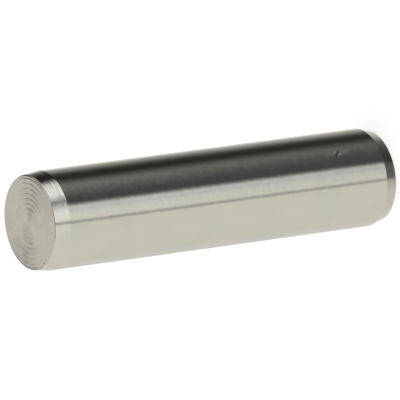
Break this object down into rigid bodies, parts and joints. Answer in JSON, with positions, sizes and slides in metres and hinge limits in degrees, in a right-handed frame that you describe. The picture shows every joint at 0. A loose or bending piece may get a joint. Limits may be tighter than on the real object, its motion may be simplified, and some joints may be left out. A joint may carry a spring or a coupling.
{
  "type": "dowel pin",
  "caption": "Plain ground steel dowel pin, with a shallow lead taper at one end and a short chamfer at the other, standing on its chamfered end.",
  "frame": {"origin": "on the axis, at the face of the chamfered back end that the pin stands on", "axes": "+Z along the axis, towards the lead end; X and Y are any two directions across it, because the pin is round"},
  "size_m": [0.006, 0.006, 0.0244],
  "materials": {
    "ground_steel": "stainless steel, centreless ground on the shank, with turned rings on the end faces and fine turning marks on the lead taper"
  },
  "bodies": {
    "root": {"dowel_pin": "ground_steel"}
  },
  "joints": []
}
